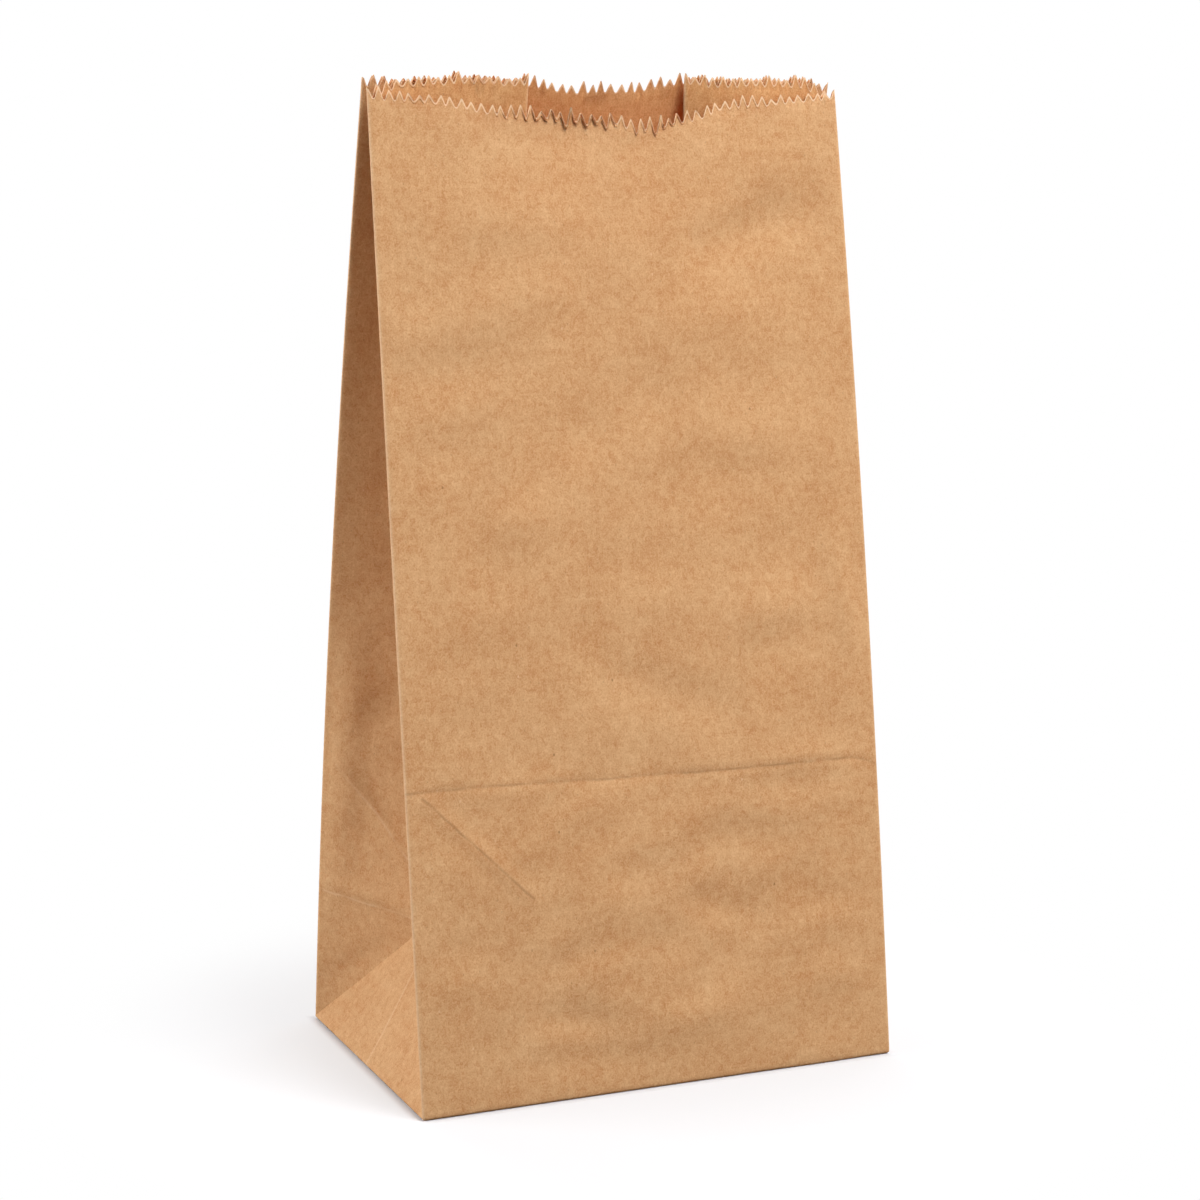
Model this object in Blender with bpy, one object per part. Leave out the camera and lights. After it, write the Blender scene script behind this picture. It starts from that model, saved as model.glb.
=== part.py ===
"""Flat-bottomed kraft paper bag, standing with its mouth nearly closed.

One sheet of paper, folded: a front and a back panel, two side gussets folded in, a base of
glued flaps that rests on the ground, and a lip cut to saw teeth. The front faces -Y, the
mouth is up, and the origin is the middle of the base. Lengths are in metres.
"""
import math

import bmesh
import bpy
import numpy as np
from mathutils import Vector

# Bag
WIDTH = 0.180
DEPTH = 0.120
LIP_HEIGHT = 0.3448
PLY = 0.00013
BODY_NARROWING = 0.0017
BODY_BELLY = 0.0007

# Mouth
MOUTH_GAP = 0.0066
MOUTH_FORWARD = 0.0045
FRONT_BOW = 0.147
BACK_BOW = 0.302
TIP_SAG = 0.001

# Folds
FOLD_RADIUS = 0.0006
BASE_FOLD_RADIUS = 0.0005
CREASE_HEIGHT = 0.1102
CREASE_DEPTH = 0.0009
CREASE_BAND_ABOVE = 0.006
CREASE_BAND_BELOW = 0.0018
GUSSET_CREASE_DEPTH = 0.0005
FACET_CREASE_DEPTH = 0.0008

# Lip
TEETH_ACROSS = 48
TOOTH_HEIGHT = 0.0033
TIP_FLAT = 0.07
VALLEY_FLAT = 0.12
VALLEY_ROUNDING = 0.00012
FRONT_DROP = 0.0036
DROP_RAMP = 0.014
FRONT_DIP_DEPTH = 0.0068
FRONT_DIP_HALF = 0.072
FRONT_DIP_CENTRE = -0.002
NOTCH_DEPTH = 0.0032
NOTCH_HALF = 0.0095
NOTCH_CENTRE = 0.012
BACK_DIP_DEPTH = 0.0026
BACK_DIP_HALF = 0.029
BACK_DIP_CENTRE = -0.004
ROOT_MARGIN = 0.001
PLAIN_MARGIN = 0.006

# Base flaps and seam
FLAP_OVERLAP = 0.012
FLOOR_RAMP = 0.006
SEAM_EDGE = 0.046
SEAM_WIDTH = 0.012
SEAM_SLOPE = 0.001

# Mesh
PANEL_CELLS = 12
GUSSET_CELLS = 4
ARC_CELLS = 4
UPPER_CELLS = 9

PITCH = WIDTH / TEETH_ACROSS
HALF_LEG = DEPTH / 2
ARC_REACH = FOLD_RADIUS * math.pi / 4


def lean(height, bow):
    """Share of the way from the base to the mouth that a panel has leant at a height."""
    share = height / LIP_HEIGHT
    return share - bow * share * (1 - share)


def panel_y(side, height):
    """Y of the front (side -1) or back (side 1) panel's middle surface."""
    start = side * (DEPTH - PLY) / 2
    end = side * MOUTH_GAP / 2 - MOUTH_FORWARD
    bow = FRONT_BOW if side < 0 else BACK_BOW
    return start + (end - start) * lean(height, bow)


def half_width(height):
    """Half of the bag's width, to the paper's middle surface."""
    share = min(height / LIP_HEIGHT, 1)
    belly = 4 * BODY_BELLY * share * (1 - share)
    return (WIDTH - PLY) / 2 - BODY_NARROWING * share + belly


def tip_centre(height):
    """Centre of the gusset fold's small arc, on the right."""
    front, back = panel_y(-1, height), panel_y(1, height)
    gap = min((back - front) / 2, HALF_LEG)
    reach = math.sqrt(HALF_LEG ** 2 - gap ** 2)
    return Vector((half_width(height) - reach + FOLD_RADIUS, (front + back) / 2))


def ray(angle, length):
    return Vector((math.cos(angle), math.sin(angle))) * length


def flip(point, side):
    """Mirror a plan point between the front's frame and the back's."""
    return Vector((point.x, -side * point.y))


def corner_centre(side, height):
    """Centre of a corner fold's arc, in a frame that has its panel at -Y."""
    panel = -side * panel_y(side, height)
    return Vector((half_width(height) - FOLD_RADIUS, panel + FOLD_RADIUS))


def arc_points(centre, start, end):
    steps = range(ARC_CELLS + 1)
    return [centre + ray(start + (end - start) * i / ARC_CELLS, FOLD_RADIUS) for i in steps]


def lift(point, height):
    return Vector((point.x, point.y, height))


def upper_half(side, edge_height, tip_height):
    """Corner arc, leg and half of the tip arc of one gusset side, above the base facet."""
    centre = corner_centre(side, edge_height)
    tip = flip(tip_centre(tip_height), side)
    across = tip - centre
    angle = math.atan2(across.y, across.x) + math.asin(2 * FOLD_RADIUS / across.length)
    corner = arc_points(centre, -math.pi / 2, angle - math.pi / 2)
    landing = tip + ray(angle + math.pi / 2, FOLD_RADIUS)
    start, end = lift(corner[-1], edge_height), lift(landing, tip_height)
    leg = [start.lerp(end, j / GUSSET_CELLS) for j in range(1, GUSSET_CELLS + 1)]
    halves = ARC_CELLS // 2
    turn = [angle + math.pi / 2 + (math.pi - angle - math.pi / 2) * i / halves
            for i in range(1, halves + 1)]
    arc = [lift(tip + ray(a, FOLD_RADIUS), tip_height) for a in turn]
    return [lift(p, edge_height) for p in corner], leg, arc


def mean_lean():
    """Slope of the two panels at their foot."""
    slopes = []
    for side, bow in ((-1, FRONT_BOW), (1, BACK_BOW)):
        travel = abs(panel_y(side, LIP_HEIGHT) - panel_y(side, 0))
        slopes.append(travel * (1 - bow) / LIP_HEIGHT)
    return math.atan(sum(slopes) / 2)


FOOT = PLY / 2 + BASE_FOLD_RADIUS
LEAN = mean_lean()
FACET_EDGE = HALF_LEG * math.cos(LEAN)
FACET_TIP = HALF_LEG * (1 - math.sin(LEAN)) / math.cos(LEAN)


def lower_half(side, share):
    """The same columns beside the base facet: share is 0 at the foot and 1 at its tip."""
    _, peak_leg, peak_arc = upper_half(side, FACET_EDGE, FACET_TIP)
    peak, base_x = peak_leg[-1], half_width(FOOT)
    edge_height = FOOT + (FACET_EDGE - FOOT) * share
    centre = corner_centre(side, edge_height)
    foot = lift(corner_centre(side, FOOT) + Vector((FOLD_RADIUS, 0)), FOOT)
    fold = foot.lerp(peak, share)
    angle = math.pi / 2
    if share > 0:
        across = Vector((fold.x, fold.y)) - centre
        angle = math.atan2(across.y, across.x) + math.asin(FOLD_RADIUS / across.length)
    corner = [lift(p, edge_height) for p in arc_points(centre, -math.pi / 2, angle - math.pi / 2)]
    sink = FACET_CREASE_DEPTH * 4 * share * (1 - share)

    def facet(point, depth):
        ground = Vector((base_x, point.y, FOOT))
        return ground.lerp(point, share) - Vector((depth, 0, 0))

    landing = facet(peak, sink)
    on_fold = round(share * GUSSET_CELLS)
    leg = []
    for j in range(1, GUSSET_CELLS + 1):
        if j <= on_fold:
            leg.append(corner[-1].lerp(fold, j / on_fold))
        else:
            leg.append(fold.lerp(landing, (j - on_fold) / (GUSSET_CELLS - on_fold)))
    return corner, leg, [facet(p, sink) for p in peak_arc]


def tip_height_at(edge_height):
    """Height of the gusset fold where its row meets the bag's corner at a height."""
    top = LIP_HEIGHT - TIP_SAG
    share = (edge_height - FACET_EDGE) / (LIP_HEIGHT - FACET_EDGE)
    return FACET_TIP + (top - FACET_TIP) * share


def crease_offset(height, flat_x):
    """How far the front panel is pressed in at its cross crease."""
    away = height - CREASE_HEIGHT
    band = CREASE_BAND_ABOVE if away > 0 else CREASE_BAND_BELOW
    edge = min(1, (WIDTH / 2 - abs(flat_x)) / (WIDTH / 12))
    return CREASE_DEPTH * max(0, 1 - abs(away) / band) * max(0, edge)


def panel_columns(side):
    """Flat X of each upright line of a panel, from left to right, between its corner arcs."""
    reach = WIDTH / 2 - ARC_REACH
    inner = [-WIDTH / 2 + WIDTH * i / PANEL_CELLS for i in range(1, PANEL_CELLS)]
    if side > 0:
        lines = (SEAM_EDGE, SEAM_EDGE + SEAM_WIDTH, SEAM_EDGE + SEAM_WIDTH + SEAM_SLOPE)
        inner = [x for x in inner if min(abs(x - line) for line in lines) > 0.002]
        inner = sorted(inner + list(lines))
    return [-reach] + inner + [reach]


def gusset_flat():
    """Distance from the bag's corner of each upright line of one gusset half, on flat paper."""
    corner = [ARC_REACH * (2 * i / ARC_CELLS - 1) for i in range(ARC_CELLS + 1)]
    reach = HALF_LEG - 2 * ARC_REACH
    leg = [ARC_REACH + reach * j / GUSSET_CELLS for j in range(1, GUSSET_CELLS + 1)]
    halves = ARC_CELLS // 2
    arc = [HALF_LEG - ARC_REACH + ARC_REACH * i / halves for i in range(1, halves + 1)]
    return corner, leg + arc


def ring_flat():
    """Place along the flat sheet of every upright line, once round the bag."""
    corner, leg = gusset_flat()
    half = [c for c in corner[1:]] + leg
    half_turn = WIDTH / 2 + DEPTH / 2
    front = panel_columns(-1)
    right = [WIDTH / 2 + d for d in half] + [WIDTH / 2 + DEPTH - d for d in reversed(half[:-1])]
    back = [WIDTH + DEPTH - x for x in reversed(panel_columns(1))]
    left = [u + 2 * half_turn for u in right]
    return front + right + back + left


def ring(edge_height, tip_height=None, share=None):
    """Middle-surface points of one row, once round the bag, front panel first."""
    halves = {}
    for side in (-1, 1):
        if share is None:
            parts = upper_half(side, edge_height, tip_height)
        else:
            parts = lower_half(side, share)
        corner, leg, arc = parts
        halves[side] = [Vector((p.x, -side * p.y, p.z)) for p in corner + leg + arc]
    rows = []
    for side in (-1, 1):
        reach = WIDTH / 2 - ARC_REACH
        end = halves[side][0]
        row = []
        for x in panel_columns(side)[1:-1]:
            press = crease_offset(end.z, x) if side < 0 else 0
            row.append(Vector((end.x * x / reach, end.y + press, end.z)))
        rows.append(row)
    front, back = halves[-1], halves[1]
    middle = (front[-1] + back[-1]) / 2
    right = front[:-1] + [middle] + back[-2::-1]
    mirror = [Vector((-p.x, p.y, p.z)) for p in reversed(right)]
    return [mirror[-1]] + rows[0] + right + rows[1][::-1] + mirror[:-1]


def segment(place):
    """Panel or gusset that a place along the flat sheet lies on, and its X across the flat bag."""
    place = (place + WIDTH / 2) % (2 * (WIDTH + DEPTH)) - WIDTH / 2
    if place <= WIDTH / 2:
        return "front", place
    if place <= WIDTH / 2 + DEPTH:
        along = place - WIDTH / 2
        return "gusset", WIDTH / 2 - min(along, DEPTH - along)
    if place <= WIDTH * 1.5 + DEPTH:
        return "back", WIDTH + DEPTH - place
    along = place - WIDTH * 1.5 - DEPTH
    return "gusset", min(along, DEPTH - along) - WIDTH / 2


def bowl(x, centre, half, depth, power):
    return depth * max(0, 1 - abs((x - centre) / half) ** power)


def lip_line(place):
    """Height of the valleys between the teeth at a place along the flat sheet."""
    part, x = segment(place)
    turn = 2 * (WIDTH + DEPTH)
    around = (place + WIDTH / 2) % turn - WIDTH / 2
    if part == "front":
        dip = bowl(x, FRONT_DIP_CENTRE, FRONT_DIP_HALF, FRONT_DIP_DEPTH, 3)
        notch = bowl(x, NOTCH_CENTRE, NOTCH_HALF, NOTCH_DEPTH, 4)
        return LIP_HEIGHT - FRONT_DROP - dip - notch
    if part == "back":
        return LIP_HEIGHT - bowl(x, BACK_DIP_CENTRE, BACK_DIP_HALF, BACK_DIP_DEPTH, 3)
    from_front = min(around - WIDTH / 2, 2 * DEPTH + WIDTH * 1.5 - around)
    rise = min(1, max(0, from_front / DROP_RAMP))
    inward = WIDTH / 2 - abs(x)
    sag = TIP_SAG * inward / HALF_LEG
    return LIP_HEIGHT - FRONT_DROP * (1 - rise * rise * (3 - 2 * rise)) - sag


def tooth(place):
    """Height of the saw-tooth edge above the line of its valleys."""
    _, x = segment(place)
    phase = (x - WIDTH / 2) / PITCH
    away = abs(phase - round(phase))
    if away > 0.5 - 1e-6:
        return -VALLEY_ROUNDING
    rise = (0.5 - VALLEY_FLAT - away) / (0.5 - VALLEY_FLAT - TIP_FLAT)
    return TOOTH_HEIGHT * min(1, max(0, rise))


def tooth_places(places, phases):
    """Places, between the upright lines, where the edge of the teeth turns."""
    found = []
    limit = PITCH * 0.03
    count = math.ceil((WIDTH + DEPTH) / PITCH) + 2
    for start, turn in ((-WIDTH / 2, 1), (WIDTH / 2, 1), (WIDTH / 2 + DEPTH, -1),
                        (WIDTH / 2 + DEPTH, 1), (WIDTH * 1.5 + DEPTH, 1),
                        (WIDTH * 1.5 + 2 * DEPTH, -1)):
        on_panel = start in (-WIDTH / 2, WIDTH / 2 + DEPTH) and turn > 0
        length = WIDTH if on_panel else HALF_LEG
        for index in range(-1, count):
            for phase in phases:
                along = (index + phase) * PITCH
                if 0 < along < length:
                    found.append(start + turn * along)
    corners = [-WIDTH / 2, WIDTH / 2, WIDTH / 2 + DEPTH, WIDTH * 1.5 + DEPTH,
               WIDTH * 1.5 + 2 * DEPTH]
    arcs = corners + [WIDTH / 2 + HALF_LEG, WIDTH * 1.5 + DEPTH + HALF_LEG]
    kept = []
    for place in sorted(found):
        near_arc = min(abs(place - c) for c in arcs) < ARC_REACH + limit
        near_line = min(abs(place - p) for p in places) < limit
        near_kept = bool(kept) and place - kept[-1] < limit
        if not (near_arc or near_line or near_kept):
            kept.append(place)
    return kept


def offset_directions(rows):
    """For each point, the step that moves every face round it out by one unit."""
    grid = np.array([[tuple(p) for p in row] for row in rows])
    east = np.roll(grid, -1, axis=1)
    diagonal = east[1:] - grid[:-1]
    other = grid[1:] - east[:-1]
    normal = np.cross(diagonal, other)
    normal /= np.linalg.norm(normal, axis=2, keepdims=True)
    steps = []
    for k, row in enumerate(rows):
        line = []
        for i in range(len(row)):
            around = []
            for r in (k - 1, k):
                for c in (i - 1, i):
                    if 0 <= r < len(normal):
                        around.append(normal[r][c])
            around = np.array(around)
            step = np.linalg.lstsq(around, np.ones(len(around)), rcond=0.1)[0]
            length = np.linalg.norm(step)
            line.append(Vector(step / length * min(length, 1.3)))
        steps.append(line)
    return steps


class Sheet:
    """Collects the outer and inner skins of the paper and the edges between them."""

    def __init__(self):
        self.bm = bmesh.new()

    def vert(self, point):
        return self.bm.verts.new(point)

    def face(self, corners):
        loop = []
        for corner in corners:
            if not loop or loop[-1] is not corner:
                loop.append(corner)
        if len(loop) > 1 and loop[0] is loop[-1]:
            loop.pop()
        if len(loop) > 2:
            return self.bm.faces.new(loop)
        return None


def fillet_rows(foot_row):
    """Rows of the small fold between the walls and the base, with their offset steps."""
    rows, steps, plan, normals = [], [], [], []
    for point in foot_row:
        side = -1 if point.y < 0 else 1
        centre = corner_centre(side, FOOT)
        out = max(0, abs(point.x) - centre.x)
        ahead = max(0, centre.y + side * point.y)
        plan.append(Vector((point.x, point.y)))
        normals.append(Vector((math.copysign(out, point.x), side * ahead)).normalized())
    for angle in (90, 45):
        turn = math.radians(angle)
        inset = BASE_FOLD_RADIUS * (1 - math.cos(turn))
        height = FOOT - BASE_FOLD_RADIUS * math.sin(turn)
        row, line = [], []
        for point, normal in zip(plan, normals):
            moved = point - normal * inset
            row.append(Vector((moved.x, moved.y, height)))
            flat = normal * math.cos(turn)
            line.append(Vector((flat.x, flat.y, -math.sin(turn))))
        rows.append(row)
        steps.append(line)
    return rows, steps


def height_rows():
    """Middle-surface rows from the foot to the plain band under the teeth."""
    rows = [ring(0, share=k / GUSSET_CELLS) for k in range(GUSSET_CELLS + 1)]
    lowest = LIP_HEIGHT - FRONT_DROP - FRONT_DIP_DEPTH - NOTCH_DEPTH
    top = lowest - ROOT_MARGIN - PLAIN_MARGIN
    crease = [CREASE_HEIGHT - CREASE_BAND_BELOW, CREASE_HEIGHT, CREASE_HEIGHT + CREASE_BAND_ABOVE]
    span = crease[0] - FACET_EDGE
    between = [FACET_EDGE + span * k / GUSSET_CELLS for k in range(1, GUSSET_CELLS)]
    heights = between + crease
    heights += [crease[-1] + (top - crease[-1]) * k / UPPER_CELLS for k in range(1, UPPER_CELLS + 1)]
    rows += [ring(z, tip_height_at(z)) for z in heights]
    return rows


def press_gusset_crease(rows, steps):
    """Press the slanted crease of each front gusset half, from the facet's tip to the corner."""
    start = len(panel_columns(-1)) - 1 + ARC_CELLS
    count = len(rows[0])
    mirrored = len(panel_columns(-1)) - 1
    for j in range(1, GUSSET_CELLS):
        k = 2 * GUSSET_CELLS - j
        right = start + j
        left = (mirrored - right) % count
        for column in (right, left):
            rows[k][column] = rows[k][column] + steps[k][column] * GUSSET_CREASE_DEPTH


def between(row, places, place):
    """Point of a row at a place along the flat sheet."""
    turn = 2 * (WIDTH + DEPTH)
    count = len(places)
    for i in range(count):
        start, end = places[i], places[(i + 1) % count] + (turn if i == count - 1 else 0)
        if start <= place <= end:
            return row[i].lerp(row[(i + 1) % count], (place - start) / (end - start))
    raise ValueError("place is off the sheet")


def raised(place):
    """Extra plies on the outside at a place along the flat sheet, inside the seam's band."""
    part, x = segment(place)
    if part != "back" or x < SEAM_EDGE - 1e-7:
        return 0
    return min(1, max(0, (SEAM_EDGE + SEAM_WIDTH + SEAM_SLOPE - x) / SEAM_SLOPE))


def build_bag():
    sheet = Sheet()
    places = ring_flat()
    count = len(places)
    rows = height_rows()
    steps = offset_directions(rows)
    press_gusset_crease(rows, steps)
    low_rows, low_steps = fillet_rows(rows[0])
    steps[0] = [Vector((s.x, s.y, 0)).normalized() for s in steps[0]]
    rows = low_rows + rows
    steps = low_steps + steps
    step_column = places.index(min(places, key=lambda u: abs(u - (WIDTH + DEPTH - SEAM_EDGE))))

    def skin(points, line, side, ups):
        return [sheet.vert(p + s * (side * PLY / 2 + up)) for p, s, up in zip(points, line, ups)]

    flat = [0] * count
    lift_up = [PLY * raised(u) for u in places]
    outer, inner, plain = [], [], []
    for k, (points, line) in enumerate(zip(rows, steps)):
        ups = lift_up if k > 1 else flat
        outer.append(skin(points, line, 1, ups))
        inner.append(skin(points, line, -1, flat))
        low = outer[-1][step_column]
        if k > 1:
            low = sheet.vert(points[step_column] + line[step_column] * (PLY / 2))
        plain.append(low)

    for k in range(len(rows) - 1):
        for i in range(count):
            n = (i + 1) % count
            a, b = outer[k][i], outer[k][n]
            c, d = outer[k + 1][n], outer[k + 1][i]
            if i == step_column:
                a, d = plain[k], plain[k + 1]
                sheet.face([outer[k][i], plain[k], plain[k + 1], outer[k + 1][i]])
            quad(sheet, a, b, c, d, k, i)
            quad(sheet, inner[k][i], inner[k + 1][i], inner[k + 1][n], inner[k][n], k, i)

    add_lip(sheet, places, rows[-1], steps[-1], outer[-1], inner[-1], plain[-1], step_column)
    add_base(sheet, places, outer[0], inner[0])
    return sheet.bm


def quad(sheet, a, b, c, d, k, i):
    """One cell of a skin, split along the gusset's slanted folds where it has one."""
    low = k - 2
    start = len(panel_columns(-1)) - 1 + ARC_CELLS
    span = 2 * GUSSET_CELLS + ARC_CELLS
    turn = len(ring_flat())
    mirrored = len(panel_columns(-1)) - 1
    for mirror in (False, True):
        column = (mirrored - i - 1) % turn if mirror else i
        j = column - start
        if 0 <= j < GUSSET_CELLS:
            rising = 0 <= low < GUSSET_CELLS
            falling = GUSSET_CELLS <= low < 2 * GUSSET_CELLS
        elif span - GUSSET_CELLS <= j < span:
            rising, falling = False, 0 <= low < GUSSET_CELLS
        else:
            continue
        if not (rising or falling):
            continue
        if rising != mirror:
            first, second = ((a, b, c), (a, c, d))
        else:
            first, second = ((a, b, d), (b, c, d))
        sheet.face(first)
        sheet.face(second)
        return
    sheet.face((a, b, c, d))


def add_lip(sheet, places, top, line, outer, inner, plain, step_column):
    """Band under the teeth, the teeth, and the cut edge between the two skins."""
    count = len(places)
    turn = 2 * (WIDTH + DEPTH)
    valleys = tooth_places(places, (0.5,))
    roots = sorted(places + valleys)
    edges = tooth_places(roots, (TIP_FLAT, 0.5 - VALLEY_FLAT, 0.5 + VALLEY_FLAT, 1 - TIP_FLAT, 1))
    stations = sorted(roots + edges)

    def point(place, height):
        return between(ring(height, height), places, place)

    def pair(place, height):
        base = point(place, height)
        step = between(line, places, place)
        up = PLY * raised(place)
        out = sheet.vert(base + step * (PLY / 2 + up))
        low = sheet.vert(base + step * (PLY / 2)) if place == places[step_column] else out
        return out, low, sheet.vert(base - step * (PLY / 2))

    root_verts = {u: pair(u, lip_line(u) - ROOT_MARGIN) for u in roots}
    lip_verts = {u: pair(u, lip_line(u) + tooth(u)) for u in stations}

    def chain(table, keys, start, end):
        if end < start:
            end += turn
        inside = [u for u in keys if start < u < end]
        last = places[0] if end > stations[-1] else end
        return [start] + inside + [last]

    for i in range(count):
        n = (i + 1) % count
        keys = chain(root_verts, roots, places[i], places[n])
        out = [root_verts[u][0] for u in keys]
        low = outer[i]
        if i == step_column:
            out[0] = root_verts[keys[0]][1]
            low = plain
            sheet.face([outer[i], plain, root_verts[keys[0]][1], root_verts[keys[0]][0]])
        sheet.face([low, outer[n]] + out[::-1])
        ins = [root_verts[u][2] for u in keys]
        sheet.face([inner[n], inner[i]] + ins)
    for index, start in enumerate(roots):
        end = roots[(index + 1) % len(roots)]
        keys = chain(lip_verts, stations, start, end)
        out = [lip_verts[u][0] for u in keys]
        low = root_verts[start][0]
        if start == places[step_column]:
            out[0] = lip_verts[start][1]
            low = root_verts[start][1]
            sheet.face([root_verts[start][0], low, out[0], lip_verts[start][0]])
        sheet.face([low, root_verts[end][0]] + out[::-1])
        ins = [lip_verts[u][2] for u in keys]
        sheet.face([root_verts[end][2], root_verts[start][2]] + ins)
    for index, start in enumerate(stations):
        end = stations[(index + 1) % len(stations)]
        out, low, under = lip_verts[end]
        sheet.face([lip_verts[start][1], out, low, under, lip_verts[start][2]])


def add_base(sheet, places, outer, inner):
    """Glued flaps under the bag, one over the other, and the floor inside."""
    half = len(panel_columns(-1)) - 1
    mid = ARC_CELLS // 2
    side_run = 2 * (ARC_CELLS + GUSSET_CELLS) + ARC_CELLS
    back_run = len(panel_columns(1)) - 1
    front_right = half + mid
    back_right = half + side_run - mid
    back_left = half + side_run + back_run + mid
    front_left = half + 2 * side_run + back_run - mid
    count = len(places)

    def run(skin, start, end):
        return [skin[i % count] for i in range(start, end + 1)]

    corner = outer[front_right].co
    apex_x = corner.x + corner.y
    free_x = apex_x - FLAP_OVERLAP
    apex = {}
    for sign in (-1, 1):
        apex[sign] = [sheet.vert((sign * apex_x, 0, level * PLY)) for level in range(3)]
    teeth = max(2, round(2 * free_x / PITCH))
    zigzag = []
    for i in range(2 * teeth + 1):
        x = free_x - free_x * i / teeth
        y = -FLAP_OVERLAP - (TOOTH_HEIGHT * 0.6 if i % 2 else 0)
        zigzag.append([sheet.vert((x, y, level * PLY)) for level in range(2)])
    under = [z[0] for z in zigzag]
    over = [z[1] for z in zigzag]
    low = [apex[1][0]] + under + [apex[-1][0]]
    high = [apex[1][1]] + over + [apex[-1][1]]
    sheet.face(low + run(outer, back_right, back_left)[::-1])
    sheet.face((high + run(outer, front_left, front_right + count))[::-1])
    sheet.face(([apex[1][2]] + run(outer, front_right, back_right))[::-1])
    sheet.face(([apex[-1][2]] + run(outer, back_left, front_left))[::-1])
    sheet.face([outer[front_right], apex[1][1], apex[1][2]])
    sheet.face([outer[back_right], apex[1][2], apex[1][1], apex[1][0]])
    sheet.face([outer[front_left], apex[-1][2], apex[-1][1]])
    sheet.face([outer[back_left], apex[-1][0], apex[-1][1], apex[-1][2]])
    for i in range(len(low) - 1):
        sheet.face([low[i + 1], low[i], high[i], high[i + 1]])

    floor = {}
    for x_sign, y_sign, start in ((1, -1, front_right), (1, 1, back_right),
                                  (-1, 1, back_left), (-1, -1, front_left)):
        place = inner[start].co
        point = (place.x - x_sign * FLOOR_RAMP, place.y - y_sign * FLOOR_RAMP, 3 * PLY)
        floor[start] = sheet.vert(point)
    order = [front_right, back_right, back_left, front_left]
    sheet.face([floor[s] for s in order])
    for start, end in zip(order, order[1:] + order[:1]):
        stop = end if end > start else end + count
        sheet.face(run(inner, start, stop) + [floor[end], floor[start]])


def paper():
    material = bpy.data.materials.new("kraft_paper")
    material.use_nodes = True
    shader = material.node_tree.nodes["Principled BSDF"]
    shader.inputs["Base Color"].default_value = (0.56, 0.35, 0.18, 1)
    shader.inputs["Roughness"].default_value = 0.85
    return material


def main():
    for item in list(bpy.data.objects):
        bpy.data.objects.remove(item, do_unlink=True)
    bm = build_bag()
    bmesh.ops.triangulate(bm, faces=bm.faces[:], ngon_method="EAR_CLIP")
    mesh = bpy.data.meshes.new("paper_bag")
    bm.to_mesh(mesh)
    bm.free()
    mesh.polygons.foreach_set("use_smooth", [True] * len(mesh.polygons))
    mesh.set_sharp_from_angle(angle=math.radians(20))
    mesh.materials.append(paper())
    bag = bpy.data.objects.new("paper_bag", mesh)
    bpy.context.scene.collection.objects.link(bag)


main()
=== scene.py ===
"""Folds a kraft paper bag from one flat sheet and sets it on a pale studio floor."""

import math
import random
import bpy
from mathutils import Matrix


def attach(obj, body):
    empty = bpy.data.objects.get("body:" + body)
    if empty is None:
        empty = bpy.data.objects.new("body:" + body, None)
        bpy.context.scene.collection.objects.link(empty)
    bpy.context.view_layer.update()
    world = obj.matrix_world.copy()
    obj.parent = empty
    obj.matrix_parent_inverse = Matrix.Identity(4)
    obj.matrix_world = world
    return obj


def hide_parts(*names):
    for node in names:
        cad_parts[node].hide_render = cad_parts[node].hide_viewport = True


bl_info = {
    "name": "Kraft Paper Bag",
    "version": (1, 0, 0),
    "blender": (4, 5, 0),
    "location": "View3D > Sidebar > Paper Bag",
    "description": "Cuts, creases and folds a paper bag with a saw-toothed lip",
    "category": "Add Mesh",
}

import bpy
import numpy as np
from bpy.props import FloatProperty, FloatVectorProperty, IntProperty, PointerProperty
from mathutils import Matrix, Vector, noise

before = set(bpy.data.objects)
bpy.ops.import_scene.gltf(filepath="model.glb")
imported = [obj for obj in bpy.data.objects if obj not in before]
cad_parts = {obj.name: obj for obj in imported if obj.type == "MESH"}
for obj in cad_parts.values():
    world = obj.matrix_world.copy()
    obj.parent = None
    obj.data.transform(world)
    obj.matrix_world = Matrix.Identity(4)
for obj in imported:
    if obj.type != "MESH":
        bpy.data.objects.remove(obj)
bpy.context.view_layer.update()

# The camera stands in front of the bag and a little to its left
CAMERA_PLACE = Vector((-0.39715, -0.92144, 0.34196))
CAMERA_YAW = 23.345
CAMERA_PITCH = 10.08
CAMERA_ROLL = 0.178
CAMERA_LENS = 84.95

# Heights of the valleys of the cut lip, as (x, height) in millimetres
FRONT_LIP = (
    (-90, 341.4), (-77, 340.7), (-68, 340.1), (-59, 338.4), (-48, 336.7), (-41, 335.8),
    (-25, 335.4), (-8, 334.4), (0, 333.6), (5, 331.5), (12, 330.9), (18, 331.4), (22.5, 333),
    (30, 333.7), (34, 334.4), (38, 335.7), (44, 337.8), (54, 338.9), (64, 339.3), (74, 340.3),
    (82, 341), (90, 341.5))
BACK_LIP = (
    (-90, 344.8), (-72, 345), (-60, 346.1), (-45, 346), (-36, 345.5), (-27, 345.5), (-21, 344.8),
    (-15.5, 343.8), (-8.5, 342.9), (0, 343.2), (9, 343.6), (17, 344), (22, 345), (31, 346.5),
    (38, 345.8), (57, 345.9), (73, 345.6), (82, 344.9), (90, 343.6))

# Path of the front panel's cross crease, as (x, height) in millimetres
CREASE_PATH = ((-90, 110.6), (-53, 110.4), (-19, 109.2), (23, 108.4), (80, 108.2), (86, 106.8),
               (90, 104.4))
CREASE_HEIGHT = 0.1102

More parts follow.
